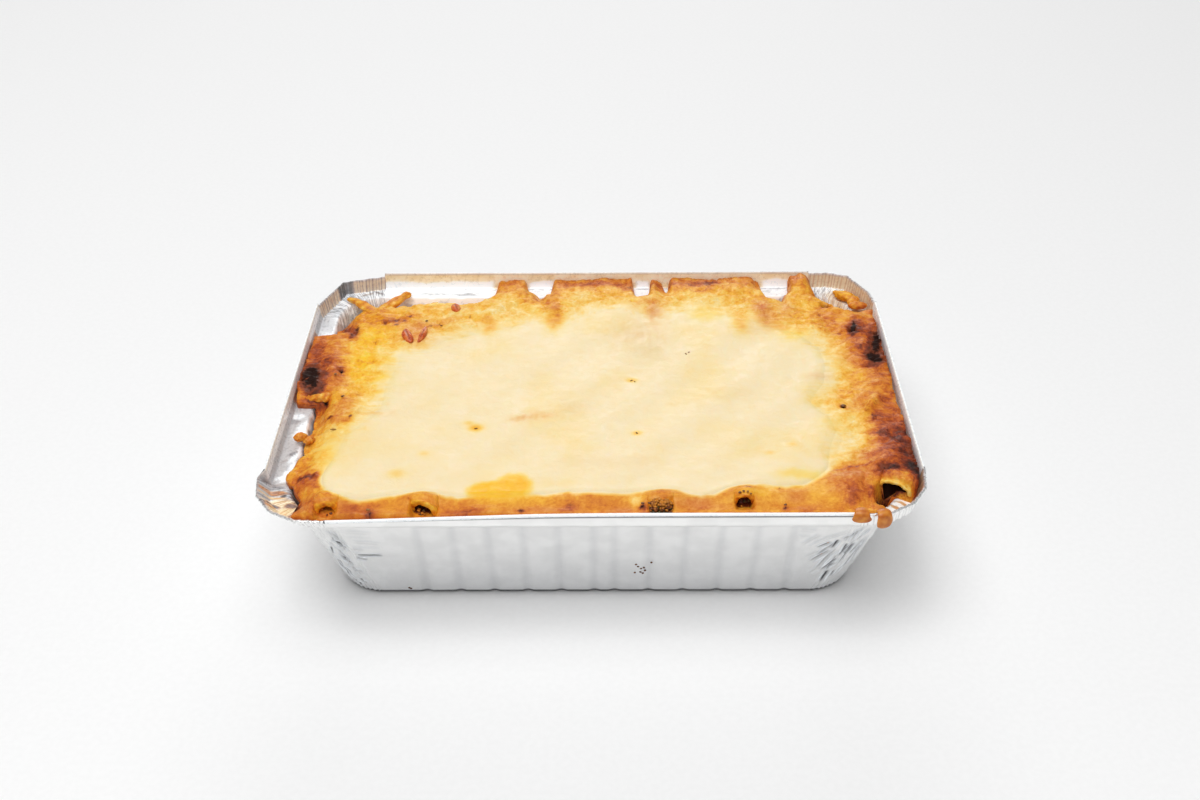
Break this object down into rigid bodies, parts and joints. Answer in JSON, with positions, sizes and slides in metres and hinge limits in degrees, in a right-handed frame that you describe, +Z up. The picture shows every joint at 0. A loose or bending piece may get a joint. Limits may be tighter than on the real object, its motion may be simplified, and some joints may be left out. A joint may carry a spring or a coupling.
{
  "type": "lasagna in foil tray",
  "caption": "Baked lasagna with a browned cheese crust, filling a rectangular fluted aluminium foil tray with an upright crimped rim.",
  "frame": {"origin": "middle of the tray's underside, on the surface it stands on", "axes": "+X along the tray's long side, to the right seen from the front; +Y to the back; +Z up"},
  "size_m": [0.2256, 0.1598, 0.0575],
  "materials": {
    "foil": "thin bright foil with soft creases, oily in the corners",
    "crust": "browned cheese crust, orange to dark brown, slightly greasy",
    "cheese": "pale melted cheese with a soft sheen",
    "pasta": "baked pasta edge, yellow orange",
    "tomato": "moist cooked tomato",
    "sauce": "sauce and fat baked on"
  },
  "bodies": {
    "root": {"foil_tray": "foil", "lasagna": "crust", "melted_cheese": "cheese", "noodle_end_1": "pasta", "noodle_end_2": "pasta", "noodle_end_3": "pasta", "noodle_end_4": "pasta", "noodle_end_5": "pasta", "tomato_piece_1": "tomato", "tomato_piece_2": "tomato", "tomato_piece_3": "tomato", "sauce_drip_1": "sauce", "sauce_drip_2": "sauce"}
  },
  "joints": []
}
